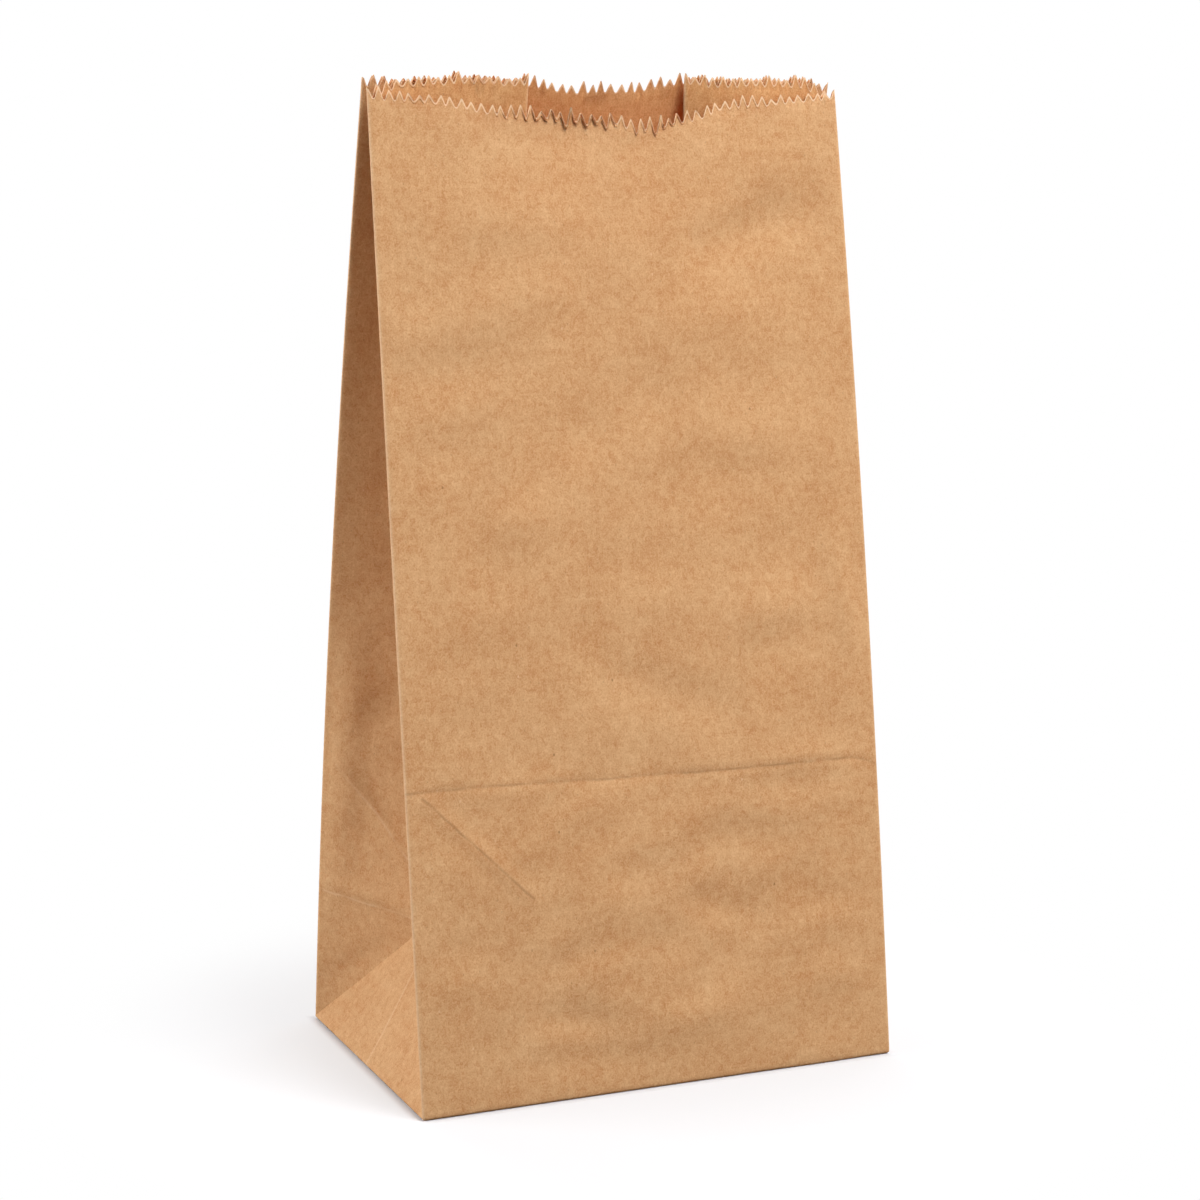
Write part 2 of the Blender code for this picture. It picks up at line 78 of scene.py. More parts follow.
# Uneven teeth: seeds of the lip's and the base flaps', ranges of their height and of the cuts'
# depth as shares of a tooth, range of their shift as a share of the pitch, and mean and spread of
# their curl in radians a metre
TEETH_SEED, FLAP_SEED = 11, 5
TOOTH_RISE, TOOTH_DIP, TOOTH_SHIFT, TOOTH_CURL = (0.62, 1.22), (-0.14, 0.12), 0.14, (6, 26)

# Teeth of the front lip, counted from its right end: sharply curled ones, as turns in radians a
# metre, and deeper cuts between two teeth
CURLED_TEETH = ((-19, 300), (-28, 430), (-26, -110), (-23, 210), (-30, -110), (-16, 120))
DEEP_CUTS = ((-29, -0.55), (-27, -0.35), (-25, -0.50), (-22, -0.40), (-20, -0.45))

# Lip, in metres: depth of the plain band's foot and of the valleys' line under the lip line,
# width of the strip along a cut edge, its gain on a tooth and its gap from the valleys' line
BAND_FOOT, VALLEY_LINE = 0.0045, 0.0013
STRIP_WIDTH, STRIP_GAIN, STRIP_GAP = 0.0006, 0.0007, 0.0004

# Cells up the lip: plain band, teeth and strip along the cut edge; cuts in a cell under the teeth,
# and the shares of the cell where they lie at a tip and a valley
LIP_CELLS, TOOTH_CUTS = 3, 3
TIP_SHARES, VALLEY_SHARES = (0, 0.12, 0.42, 0.78, 1), (0, 0.22, 0.58, 0.88, 1)

# Gussets' lip, in metres: its step above the back lip, and the reach over which it climbs there
GUSSET_LIP_STEP, GUSSET_LIP_REACH = 0.0004, 0.014

# Gusset's fold, in metres: how far below the lip it ends by its own slope, where it starts to come
# level with the corner and over what height; and how hollow the base facet is
TIP_BELOW, LEVEL_BELOW, LEVEL_OVER = 0.001, 0.02, 0.012
FACET_SINK = 0.0032

# Level lines of the sheet, in metres: above the cross crease and up to the highest plain one; and
# cells across an upright fold and round the base fold
CREASE_STEPS = (0.0007, 0.0014, 0.0030, 0.0055)
TOP_ROW, UPPER_ROWS = 0.3250, 34
ARC_CELLS, BASE_ROWS = 4, 3

# Cross crease, in metres: reach of its hollow up and down, half width and depth of its groove,
# where it fades at the sides, and how far its slant pulls the rows along
HOLLOW_UP, HOLLOW_DOWN, GROOVE_HALF, GROOVE_DEPTH = 0.0070, 0.0040, 0.0018, 0.00030
CREASE_FADE, CREASE_PULL = 0.008, 0.03

# Soft waves: width and height in millimetres and strength of the broad and the small ones, cosine
# and sine of their slant, and how far in metres they take to grow from a fold and the foot
WAVES = ((60, 30, 1.1), (22, 11, 0.75))
WAVE_SLANT = (0.93, 0.37)
WAVE_SEEDS = {"front": (3.1, 7.7, 0), "back": (31, 4.2, 9)}
STILL_FOLD, STILL_FOOT, FOOT_GROWTH = 0.02, 0.004, 0.03

# Half widths in metres of the pale wear on a fold and of the step at the seam, and the angle in
# degrees from which an edge stays sharp
WORN_HALF, SEAM_STEP, SHARP_ANGLE = 0.0006, 0.0015, 32

# Soft dents and ridges, as places along the flat sheet and up it where they start and end,
# half width and height, all in millimetres
DENTS = (
    (632, 290, 676, 303, 7, -2.2), (654, 318, 676, 324, 6, 1.1), (548, 303, 580, 300, 8, 0.9),
    (552, 329, 590, 334, 8, -1), (516, 263, 576, 274, 7, 1.4), (516, 247, 562, 252, 6.5, -0.9),
    (596, 239, 622, 241, 6, -0.95), (606, 263, 660, 268, 7, 0.6), (630, 242, 664, 248, 6.5, -0.8),
    (636, 222, 666, 228, 5.5, 0.85), (548, 200, 570, 199, 6.5, 0.8), (572, 226, 596, 230, 6, -1),
    (522, 222, 560, 228, 6.5, -0.7), (536, 166, 562, 170, 6, 0.7), (634, 161, 668, 164, 6, 1.4),
    (586, 146, 632, 128, 6, -1.4), (586, 167, 620, 167, 6.5, 1), (520, 110, 566, 110, 5.5, 0.85),
    (620, 110, 684, 109, 5.5, 0.95), (618, 96, 680, 95, 7.5, 0.45), (517, 107, 554, 71, 2.6, 0.5),
    (614, 63, 642, 55, 6, -0.7), (584, 26, 624, 24, 7, 0.85), (556, 28, 592, 25, 5.5, -0.8),
    (552, 14, 590, 12, 5.5, -0.6), (562, 47, 606, 52, 6, -0.8), (676, 181, 684, 150, 6, 0.9),
    (548, 277, 572, 286, 5.5, 0.55), (648, 183, 668, 192, 5, -0.6), (652, 4, 676, 5, 5, 0.4),
    (400, 146, 400, 66, 7.5, 1.3), (404, 134, 402, 124, 6, 0.75), (392, 56, 440, 57, 2.6, 0.9),
    (396, 104, 430, 75, 2.6, 0.7), (396, 18, 424, 40, 5, -1), (410, 172, 440, 180, 9, -1.2),
    (414, 136, 426, 122, 6, -1), (408, 96, 424, 90, 7, -0.6), (770, 60, 800, 66, 7, 0.9),
    (800, 140, 802, 90, 7, 1.1), (300, 250, 340, 262, 7, -1.1), (270, 180, 330, 170, 7, 1.1),
    (320, 60, 370, 48, 7, -1), (262, 110, 380, 109, 2.2, -0.45), (345, 300, 370, 288, 7, 0.9),
    (340, 216, 366, 204, 6, -0.9), (820, 250, 846, 262, 7, -1), (824, 150, 846, 140, 6.5, 0.9),
)

# A dent's share of its height at its ends, and how many millimetres from a fold it is whole
DENT_ENDS, DENT_FADE = 0.55, 5

# Thin lines along creases, as the places along the flat sheet and up it where they start and end,
# in millimetres, and how dark (painted shade, below 0) or pale (above 0) they are; and their half
# width
CREASE_SHADE_AND_PALE_LINES = ((516, 108.5, 554, 71, -0.9), (397, 103, 431, 75, 0.65),
                 (393, 52.6, 446, 55.4, 0.8))
LINE_HALF = 0.75

# Noise, as cells a millimetre, octaves and roughness: curly fibres, then the fine grain, mottle,
# patches and clouds
CURLY_NOISE = (0.55, 1.5, 0.45)
TONE_NOISE = ((1.5, 2.0, 0.75), (0.30, 1.0, 0.6), (0.085, 1.0, 0.6), (0.028, 1.0, 0.5))

# Flecks, as cells a millimetre, size in cells, where the dark ones start, and their strength
FLECKS = ((0.33, 0.10, 0.90, 0.35), (0.085, 0.036, 0.965, 0.8))

# Lamps: degrees round from the bag's front to its right, degrees up and side in metres, and
# their distance in metres from the bag's middle
LAMPS = {"key": (45, 30, 1.4), "steep": (25, 57, 0.9), "side": (-105, 20, 1.4),
         "back": (180, 30, 1.4), "rim": (130, 30, 1.4)}
LAMP_DISTANCE, BAG_MIDDLE = 2.0, Vector((0, 0, 0.17))

# Floor, in metres: width of the dark line round the bag, and where its shadow fades out
CONTACT_LINE, SHADOW_START, SHADOW_END = 0.0035, 0.10, 0.21


def length_prop(name, text, default, low=0.0):
    return FloatProperty(name=name, description=text, default=default, min=low, unit="LENGTH")


def share_prop(name, text, default, high=1.0):
    return FloatProperty(name=name, description=text, default=default, min=0, max=high,
                         subtype="FACTOR")


def strength_prop(name, text, default):
    return FloatProperty(name=name, description=text, default=default, min=0)


def power_prop(name, text, default):
    return FloatProperty(name=name, description=text, default=default, min=0, unit="POWER")


def colour_prop(name, text, *colour):
    return FloatVectorProperty(name=name, description=text, default=(*colour, 1), size=4,
                               min=0, max=1, subtype="COLOR")


class BagSizes(bpy.types.PropertyGroup):
    """Sizes of the folded bag."""

    width: length_prop("Width", "Width of the front panel", 0.180, 0.05)
    depth: length_prop("Depth", "Depth of the base", 0.120, 0.03)
    lip_height: length_prop("Lip height", "Height of the cut lip's valleys", 0.3448, 0.1)
    ply: length_prop("Ply", "Thickness of the paper", 0.00013, 0.00005)
    mouth_gap: length_prop("Mouth gap", "Gap between the two lips", 0.0066, 0.002)
    mouth_forward: length_prop("Mouth forward", "How far forward the mouth's middle is", 0.0045)
    fold_radius: length_prop("Fold radius", "Radius of the upright folds", 0.0006, 0.0002)
    base_radius: length_prop("Base fold radius", "Radius of the base's fold", 0.0008, 0.0002)
    front_bow: share_prop("Front bow", "How much the front panel bows on its way up", 0.147)
    back_bow: share_prop("Back bow", "How much the back panel bows on its way up", 0.302)
    narrowing: length_prop("Narrowing", "How much narrower each side is at the mouth", 0.0017)
    belly: length_prop("Belly", "How much each side stands out at half height", 0.0007)
    teeth: IntProperty(name="Teeth", description="Teeth across one panel", default=48, min=8)
    tooth_height: length_prop("Tooth height", "Height of the teeth above their valleys", 0.0033)
    tip_back: share_prop("Gusset tip back", "How far back the gusset's fold leans on top", 0.35)
    right_slack: length_prop("Right slack", "How short the right gusset bows at the top", 0.0022)
    crease_depth: length_prop("Crease depth", "How far the cross crease is pressed in", 0.0003)
    seam_edge: length_prop("Seam edge", "X of the glued seam's free edge on the back", 0.045)
    seam_width: length_prop("Seam width", "Width of the glued overlap", 0.01125)
    flap_overlap: length_prop("Flap overlap", "How far base flaps pass the middle", 0.012)
    dents: share_prop("Dents", "Share of the listed dents' full height", 1.2, 2.0)
    ripple: length_prop("Ripple", "Height of the paper's soft waves", 0.00095)


class PaperLook(bpy.types.PropertyGroup):
    """Colours and surface of the kraft paper."""

    base: colour_prop("Paper", "Colour of the paper", 0.700, 0.403, 0.187)
    pale: colour_prop("Pale fibre", "Colour of worn folds and cut edges", 0.93, 0.69, 0.43)
    # The dark colour paints the dark flecks, and also the painted shade along the creases
    dark: colour_prop("Dark fibre and painted shade", "Colour of the dark flecks and of the painted crease shade", 0.30, 0.15, 0.06)
    # Inner face: the paper's colour times these shares, darker and more orange, as painted shade
    # for the bag's inside
    inside: FloatVectorProperty(name="Inside", description="Share of the colour on the inner face, as painted shade",
                                size=3, min=0, max=1, default=(1.0, 0.91, 0.80))
    spread: FloatVectorProperty(name="Spread", description="How far the tones spread by channel",
                                size=3, min=0, max=1, default=(0.19, 0.36, 0.50))
    glow: colour_prop("Glow", "Colour of light that soaks through", 0.85, 0.33, 0.09)
    roughness: share_prop("Roughness", "Roughness of the paper", 0.82)
    light_through: share_prop("Light through", "Share of light that soaks through", 0.25)
    fibre: strength_prop("Fibre lines", "Strength of the curly fibres", 0.22)
    grain: strength_prop("Grain", "Strength of the finest grain", 1.2)
    mottle: strength_prop("Mottle", "Strength of spots a few millimetres wide", 0.55)
    patches: strength_prop("Patches", "Strength of patches a centimetre wide", 0.32)
    clouds: strength_prop("Clouds", "Strength of the broadest patches", 0.25)
    relief: length_prop("Relief", "Height of the paper's fine relief", 0.00004)


class StageLook(bpy.types.PropertyGroup):
    """Floor and studio light."""

    floor_colour: colour_prop("Floor", "Colour of the floor", 0.70, 0.695, 0.72)
    floor_bounce: colour_prop("Floor bounce", "Colour of light off the floor", 0.30, 0.30, 0.30)
    floor_white: share_prop("Floor white", "Share of the floor by the bag that's white", 0.55)
    key_power: power_prop("Key light", "Power of the large light in front", 20)
    steep_power: power_prop("Steep light", "Power of the high light in front", 35)
    side_power: power_prop("Side light", "Power of the light on the left", 40)
    back_power: power_prop("Back light", "Power of the light behind the bag", 24)
    rim_power: power_prop("Rim light", "Power of the light behind on the right", 15)
    sky: strength_prop("Sky", "Strength of the even light from all round", 0.12)


def half_leg(sizes):
    return sizes.depth / 2


def arc_reach(sizes):
    """Half of the paper that an upright fold takes up."""
    return sizes.fold_radius * math.pi / 4


def pitch(sizes):
    return sizes.width / sizes.teeth


def foot_height(sizes):
    """Height of the middle surface where the walls begin, above the base fold."""
    return 2.5 * sizes.ply + sizes.base_radius


def whole_turn(sizes):
    return 2 * (sizes.width + sizes.depth)


def corner_folds(sizes):
    """Places of the corner folds along the flat sheet."""
    half = sizes.width / 2
    return [half, half + sizes.depth, half * 3 + sizes.depth, half * 3 + sizes.depth * 2]


def ray(angle, length):
    return Vector((math.cos(angle), math.sin(angle))) * length


def panel_y(sizes, side, height):
    """Y of the front (side -1) or back (side 1) panel."""
    start = side * (sizes.depth - sizes.ply) / 2
    end = side * sizes.mouth_gap / 2 - sizes.mouth_forward
    bow = sizes.front_bow if side < 0 else sizes.back_bow
    share = height / sizes.lip_height
    return start + (end - start) * (share - bow * share * (1 - share))


def half_width(sizes, height):
    share = min(height / sizes.lip_height, 1)
    belly = 4 * sizes.belly * share * (1 - share)
    return (sizes.width - sizes.ply) / 2 - sizes.narrowing * share + belly


class Fold:
    """Half of one side of the bag at one height: corner fold, gusset leg and gusset tip."""

    def __init__(self, sizes, side, edge_height, tip_height, slack=0):
        self.side = side
        self.slack = slack
        self.edge_height = edge_height
        self.tip_height = tip_height
        self.radius = sizes.fold_radius
        self.centre = self.corner_centre(sizes, edge_height)
        self.tip = self.tip_centre(sizes, tip_height)
        across = self.tip - self.centre
        angle = math.atan2(across.y, across.x) + math.asin(2 * self.radius / across.length)
        self.corner_end = angle - math.pi / 2
        self.tip_start = angle + math.pi / 2
        self.leg_start = self.corner(1)
        self.leg_end = Fold.turn(self, 0)

    def corner_centre(self, sizes, height):
        y = -self.side * panel_y(sizes, self.side, height)
        return Vector((half_width(sizes, height) - self.radius, y + self.radius))

    def tip_centre(self, sizes, height):
        front, back = panel_y(sizes, -1, height), panel_y(sizes, 1, height)
        gap = min((back - front) / 2, half_leg(sizes))
        lean = sizes.tip_back * gap * (height / sizes.lip_height) ** 4
        reach = math.sqrt(half_leg(sizes) ** 2 - min(gap + lean, half_leg(sizes)) ** 2)
        reach -= self.slack * (height / sizes.lip_height) ** 4
        x = half_width(sizes, height) - reach + self.radius
        return Vector((x, -self.side * ((front + back) / 2 + lean)))

    def corner(self, share):
        turn = -math.pi / 2 + (self.corner_end + math.pi / 2) * share
        point = self.centre + ray(turn, self.radius)
        return Vector((point.x, point.y, self.edge_height))

    def leg(self, share):
        return self.leg_start.lerp(self.leg_end, share)

    def turn(self, share):
        angle = self.tip_start + (math.pi - self.tip_start) * share
        point = self.tip + ray(angle, self.radius)
        return Vector((point.x, point.y, self.tip_height))


class LowFold(Fold):
    """The same beside the flat base facet, where the gusset's fold is split in two."""

    def __init__(self, sizes, side, share):
        edge, tip = facet_edge(sizes), facet_tip(sizes)
        super().__init__(sizes, side, edge, tip)
        self.peak = Fold(sizes, side, edge, tip)
        self.share = share
        foot = foot_height(sizes)
        self.edge_height = foot + (edge - foot) * share
        self.centre = self.corner_centre(sizes, self.edge_height)
        start = self.corner_centre(sizes, foot) + Vector((self.radius, 0))
        self.bend = Vector((start.x, start.y, foot)).lerp(self.peak.leg_end, share)
        angle = math.pi / 2
        if share > 0:
            across = Vector((self.bend.x, self.bend.y)) - self.centre
            angle = math.atan2(across.y, across.x) + math.asin(self.radius / across.length)
        self.corner_end = angle - math.pi / 2
        self.leg_start = self.corner(1)
        self.base_x = half_width(sizes, foot)
        self.foot = foot
        self.sink = FACET_SINK * share * (1 - share)
        self.leg_end = self.facet(self.peak.leg_end)

    def facet(self, point):
        ground = Vector((self.base_x, point.y, self.foot))
        return ground.lerp(point, self.share) - Vector((self.sink, 0, 0))

    def leg(self, share):
        if share <= self.share:
            return self.leg_start.lerp(self.bend, share / max(self.share, 1e-9))
        return self.bend.lerp(self.leg_end, (share - self.share) / max(1 - self.share, 1e-9))

    def turn(self, share):
        return self.facet(self.peak.turn(share))


def base_lean(sizes):
    """Mean angle by which the panels lean inwards at their foot."""
    slopes = []
    for side, bow in ((-1, sizes.front_bow), (1, sizes.back_bow)):
        travel = panel_y(sizes, side, sizes.lip_height) - panel_y(sizes, side, 0)
        slopes.append(abs(travel) * (1 - bow) / sizes.lip_height)
    return math.atan(sum(slopes) / 2)


def facet_edge(sizes):
    """Height on the corner fold that is level with the facet's point on the flat sheet."""
    return half_leg(sizes) * math.cos(base_lean(sizes))


def facet_tip(sizes):
    """Height of the point where the gusset's two slanted folds meet."""
    lean = base_lean(sizes)
    return half_leg(sizes) * (1 - math.sin(lean)) / math.cos(lean)


def tip_height(sizes, height):
    """Height of the gusset's fold for a row that meets the corner at a height."""
    top = sizes.lip_height - TIP_BELOW
    share = (height - facet_edge(sizes)) / (sizes.lip_height - facet_edge(sizes))
    return facet_tip(sizes) + (top - facet_tip(sizes)) * share


def where(sizes, along):
    """Part of the bag at a place along the flat sheet, its side, and its X or reach inwards."""
    width, depth = sizes.width, sizes.depth
    along = (along + width / 2) % whole_turn(sizes) - width / 2
    if along <= width / 2:
        return "front", 1, along
    if along <= width / 2 + depth:
        return "gusset", 1, along - width / 2
    if along <= width * 1.5 + depth:
        return "back", 1, width + depth - along
    return "gusset", -1, 2 * depth + width * 1.5 - along


class Folder:
    """Moves points of the flat sheet to their places on the folded bag."""

    def __init__(self, sizes):
        self.sizes = sizes
        self.rows = {}

    def row(self, side, height, hand=1):
        key = (side, round(height, 7), hand)
        if key not in self.rows:
            sizes = self.sizes
            foot, edge = foot_height(sizes), facet_edge(sizes)
            if height < edge - 1e-7:
                share = max(0, (height - foot) / (edge - foot))
                self.rows[key] = LowFold(sizes, side, share)
            else:
                rim = sizes.lip_height - LEVEL_BELOW
                tip = tip_height(sizes, height)
                if height > rim:
                    tip += (height - tip) * min(1, (height - rim) / LEVEL_OVER)
                slack = sizes.right_slack if hand > 0 else 0
                self.rows[key] = Fold(sizes, side, height, tip, slack)
        return self.rows[key]

    def point(self, along, height):
        """Folded place of a point of the sheet, before the paper's small waves."""
        sizes = self.sizes
        part, hand, x = where(sizes, along)
        foot = foot_height(sizes)
        fold_turn = max(0, foot - height) / sizes.base_radius
        height = max(height, foot)
        reach, leg = arc_reach(sizes), half_leg(sizes)
        if part == "gusset":
            side = -1 if x <= leg else 1
            inward = min(x, sizes.depth - x)
            fold = self.row(side, height, hand)
            if inward < reach:
                place = fold.corner(0.5 + inward / reach / 2)
            elif inward <= leg - reach:
                place = fold.leg((inward - reach) / (leg - 2 * reach))
            else:
                place = fold.turn((inward - leg + reach) / reach)
        else:
            side = -1 if part == "front" else 1
            fold = self.row(side, height)
            end = fold.corner(0)
            flat_end = sizes.width / 2 - reach
            if abs(x) <= flat_end:
                place = Vector((end.x * x / flat_end, end.y, end.z))
                hand = 1
            else:
                place = fold.corner((abs(x) - flat_end) / reach / 2)
                hand = 1 if x > 0 else -1
        place = Vector((hand * place.x, -side * place.y, place.z))
        if fold_turn > 0:
            place = self.round_base(place, side, fold, fold_turn)
        return place

    def round_base(self, place, side, fold, turn):
        """Rolls a point of the foot row round the small fold into the base."""
        out = max(0, abs(place.x) - fold.centre.x)
        ahead = max(0, fold.centre.y + side * place.y)
        normal = Vector((math.copysign(out, place.x), side * ahead, 0)).normalized()
        radius = self.sizes.base_radius
        inset = radius * (1 - math.cos(turn))
        return place - normal * inset - Vector((0, 0, radius * math.sin(turn)))


def smooth(value):
    value = min(1, max(0, value))
    return value * value * (3 - 2 * value)


def along_path(path, x):
    xs = [p[0] / 1000 for p in path]
    ys = [p[1] / 1000 for p in path]
    return float(np.interp(x, xs, ys))


def lip_line(sizes, along):
    """Height of the valleys between the teeth."""
    part, hand, x = where(sizes, along)
    if part == "front":
        return along_path(FRONT_LIP, x)
    if part == "back":
        return along_path(BACK_LIP, x)
    inward = min(x, sizes.depth - x)
    back = along_path(BACK_LIP, hand * (sizes.width / 2 - inward)) + GUSSET_LIP_STEP
    if x > half_leg(sizes):
        return back
    front = FRONT_LIP[0][1] / 1000
    return front + (back - front) * smooth(x / GUSSET_LIP_REACH)


class Teeth:
    """Uneven saw teeth, cut through all the plies of the flat bag in one stroke."""

    # Profile of a tooth: distances from its tip as shares of the pitch, and its level there
    SHARES = (0, 0.06, 0.21, 0.39, 0.5)
    LEVELS = (1, 0.93, 0.58, 0.08, 0)

    def __init__(self, sizes, seed):
        self.sizes = sizes
        maker = random.Random(seed)
        self.rise, self.dip, self.shift, self.curl = {}, {}, {}, {}
        for part in ("front", "back"):
            for index in range(-2 * sizes.teeth, 3 * sizes.teeth):
                at_corner = index in (0, -sizes.teeth)
                self.rise[part, index] = 1 if at_corner else maker.uniform(*TOOTH_RISE)
                self.dip[part, index] = maker.uniform(*TOOTH_DIP)
                shift = 0 if at_corner else maker.uniform(-TOOTH_SHIFT, TOOTH_SHIFT)
                self.shift[part, index] = shift * pitch(sizes)
                self.curl[part, index] = 0 if at_corner else maker.gauss(*TOOTH_CURL)
        for table in (self.rise, self.dip, self.shift, self.curl):
            table.update({("gusset", i): value for (part, i), value in list(table.items())
                          if part == "back"})
        self.curl.update({("front", index): curl for index, curl in CURLED_TEETH})
        self.dip.update({("front", index): dip for index, dip in DEEP_CUTS})

    def phase(self, along):
        """The sheet's part and the place along it in whole teeth."""
        part, hand, x = where(self.sizes, along)
        if part == "gusset":
            x = hand * (self.sizes.width / 2 - min(x, self.sizes.depth - x))
        return part, (x - self.sizes.width / 2) / pitch(self.sizes)

    def between(self, table, along):
        part, phase = self.phase(along)
        low = math.floor(phase + 1e-9)
        share = phase - low
        return table[part, low] * (1 - share) + table[part, low + 1] * share

    def level(self, along):
        """Share of the full tooth height at a place, 0 in a common valley."""
        part, phase = self.phase(along)
        nearest = round(phase)
        valley = math.floor(phase + 1e-9)
        share = float(np.interp(abs(phase - nearest), self.SHARES, self.LEVELS))
        dip = self.dip[part, valley]
        return dip + (self.rise[part, nearest] - dip) * share

    def bend(self, along):
        part, phase = self.phase(along)
        return self.curl[part, round(phase)]


def sheet_columns(sizes):
    """Places of the upright lines along the flat sheet, and which cells carry no teeth."""
    step, reach = pitch(sizes) / 2, arc_reach(sizes)
    turn, half = whole_turn(sizes), sizes.width / 2
    start = sizes.width + sizes.depth - sizes.seam_edge - sizes.seam_width
    end = start + sizes.seam_width + turn
    folds = corner_folds(sizes) + [half + sizes.depth / 2, half * 3 + sizes.depth * 1.5]
    arcs = [(lap + fold - reach, lap + fold + reach) for lap in (0, turn) for fold in folds]
    places = []
    for i in range(math.floor((start - half) / step), math.ceil((end - half) / step) + 1):
        place = half + i * step
        if all(not low - step * 0.2 < place < high + step * 0.2 for low, high in arcs):
            places.append(place)
    for low, high in arcs:
        places += [low + (high - low) * i / ARC_CELLS for i in range(ARC_CELLS + 1)]
    places = sorted(p for p in places if start - 1e-6 <= p <= end + 1e-6)
    middles = [(a + b) / 2 for a, b in zip(places, places[1:])]
    plain = [any(low < middle < high for low, high in arcs) for middle in middles]
    return places, plain


def leg_shares(sizes):
    """Places of the upright lines across one gusset leg, from 0 at the corner to 1 at the tip."""
    step, reach = pitch(sizes) / 2, arc_reach(sizes)
    count = round(half_leg(sizes) / step)
    flat = half_leg(sizes) - 2 * reach
    return [0] + [(i * step - reach) / flat for i in range(1, count)] + [1]


def sheet_rows(sizes):
    """Heights of the level lines of the sheet up to the plain band under the teeth."""
    foot, edge, crease = foot_height(sizes), facet_edge(sizes), CREASE_HEIGHT
    quarter = sizes.base_radius * math.pi / 2
    rows = [foot - quarter * (1 - i / BASE_ROWS) for i in range(BASE_ROWS)]
    shares = leg_shares(sizes)
    rows += [foot + (edge - foot) * share for share in shares]
    rows += [edge + (crease - edge) * share for share in shares[1:]]
    rows += [crease + step for step in CREASE_STEPS]
    low = rows[-1]
    rows += [low + (TOP_ROW - low) * i / UPPER_ROWS for i in range(1, UPPER_ROWS + 1)]
    return rows


def select_none():
    if bpy.context.object and bpy.context.object.mode != "OBJECT":
        switch("OBJECT")
    bpy.ops.object.select_all(action="DESELECT")


def switch(mode):
    bpy.ops.object.mode_set(mode=mode)


def flat_grid(name, across, up):
    """A flat grid one metre wide and high, with so many cells across and up."""
    select_none()
    bpy.ops.mesh.primitive_grid_add(x_subdivisions=across, y_subdivisions=up, size=1)
    grid = bpy.context.object
    grid.name = grid.data.name = name
    return grid


def turn_faces(piece, operator):
    """Runs an edit-mode operator that turns faces on all of a piece."""
    select_none()
    piece.select_set(True)
    bpy.context.view_layer.objects.active = piece
    switch("EDIT")
    bpy.ops.mesh.select_all(action="SELECT")
    operator()
    switch("OBJECT")


def thicken(piece, sizes, inside=0):
    """Gives a ply its thickness, with its inner face a number of materials further on."""
    thick = piece.modifiers.new("ply", "SOLIDIFY")
    thick.thickness = sizes.ply
    thick.offset = 0
    thick.material_offset = inside
    bpy.context.view_layer.objects.active = piece
    bpy.ops.object.modifier_apply(modifier=thick.name)


def slanted_lines(sizes, places):
    """Cells' corners on the gussets' slanted folds, as (column, row)."""
    shares = leg_shares(sizes)
    reach = arc_reach(sizes)
    peak_row = BASE_ROWS + len(shares) - 1
    marked = set()
    for corner, way in zip(corner_folds(sizes), (1, -1, 1, -1)):
        for lap in (0, whole_turn(sizes)):
            for count, share in enumerate(shares):
                place = lap + corner + way * (reach + share * (half_leg(sizes) - 2 * reach))
                column = min(range(len(places)), key=lambda i: abs(places[i] - place))
                if abs(places[column] - place) < 1e-6:
                    marked.add((column, BASE_ROWS + count))
                    marked.add((column, peak_row + len(shares) - 1 - count))
    return marked


def cut_flat_sheet(name, plain, rows, slanted):
    """A flat sheet counted in cells, cut along the slanted folds and finer where teeth will be."""
    across, up = len(plain), len(rows) + LIP_CELLS
    sheet = flat_grid(name, across, up)
    for vert in sheet.data.vertices:
        column = round((vert.co.x + 0.5) * across)
        row = round((vert.co.y + 0.5) * up)
        vert.co = (column, row, 0)
    switch("EDIT")
    bpy.ops.mesh.select_all(action="DESELECT")
    switch("OBJECT")
    verts = sheet.data.vertices
    for edge in sheet.data.edges:
        a, b = (verts[i].co for i in edge.vertices)
        level = abs(a.y - b.y) < 0.5
        in_teeth = a.y > len(rows) + 0.5
        edge.select = level and in_teeth and not plain[int(min(a.x, b.x))]
    switch("EDIT")
    bpy.context.tool_settings.mesh_select_mode = (False, True, False)
    bpy.ops.mesh.subdivide(number_cuts=TOOTH_CUTS)
    bpy.context.tool_settings.mesh_select_mode = (True, False, False)
    bpy.ops.mesh.select_all(action="DESELECT")
    switch("OBJECT")
    for vert in sheet.data.vertices:
        vert.select = (round(vert.co.x, 3), round(vert.co.y, 3)) in slanted
    switch("EDIT")
    bpy.ops.mesh.vert_connect()
    switch("OBJECT")
    return sheet


def crease_press(sizes, along, height):
    """How far the front panel is pressed in at its cross crease."""
    part, _, x = where(sizes, along)
    if part != "front":
        return 0
    away = height - CREASE_HEIGHT
    edge = smooth((sizes.width / 2 - abs(x)) / CREASE_FADE)
    broad = math.exp(-(away / (HOLLOW_UP if away > 0 else HOLLOW_DOWN)) ** 2)
    sharp = max(0, 1 - abs(away) / GROOVE_HALF)
    return (sizes.crease_depth * broad + GROOVE_DEPTH * sharp) * edge


def soft_wave(sizes, along, height):
    """Soft waves of the paper, still at the folds and at the foot."""
    part, hand, x = where(sizes, along)
    if part == "gusset":
        away = min(x, sizes.depth - x)
        calm = smooth(away / STILL_FOLD) * smooth(abs(half_leg(sizes) - away) / STILL_FOLD)
    else:
        calm = smooth((sizes.width / 2 - abs(x)) / STILL_FOLD)
    calm *= smooth((height - STILL_FOOT) / FOOT_GROWTH)
    seed = Vector(WAVE_SEEDS.get(part, (40 * hand, 21.3, 5)))
    across = {"front": 0.6 + x, "back": 0.3 - x}.get(part, along) * 1000
    level, (cos, sin) = height * 1000, WAVE_SLANT
    slant = Vector((across * cos + level * sin, level * cos - across * sin))
    total = 0
    for count, (wide, high, strength) in enumerate(WAVES):
        spot = Vector((slant.x / wide, slant.y / high, 0)) + seed * (count + 1)
        total += strength * noise.noise(spot)
    return sizes.ripple * calm * total


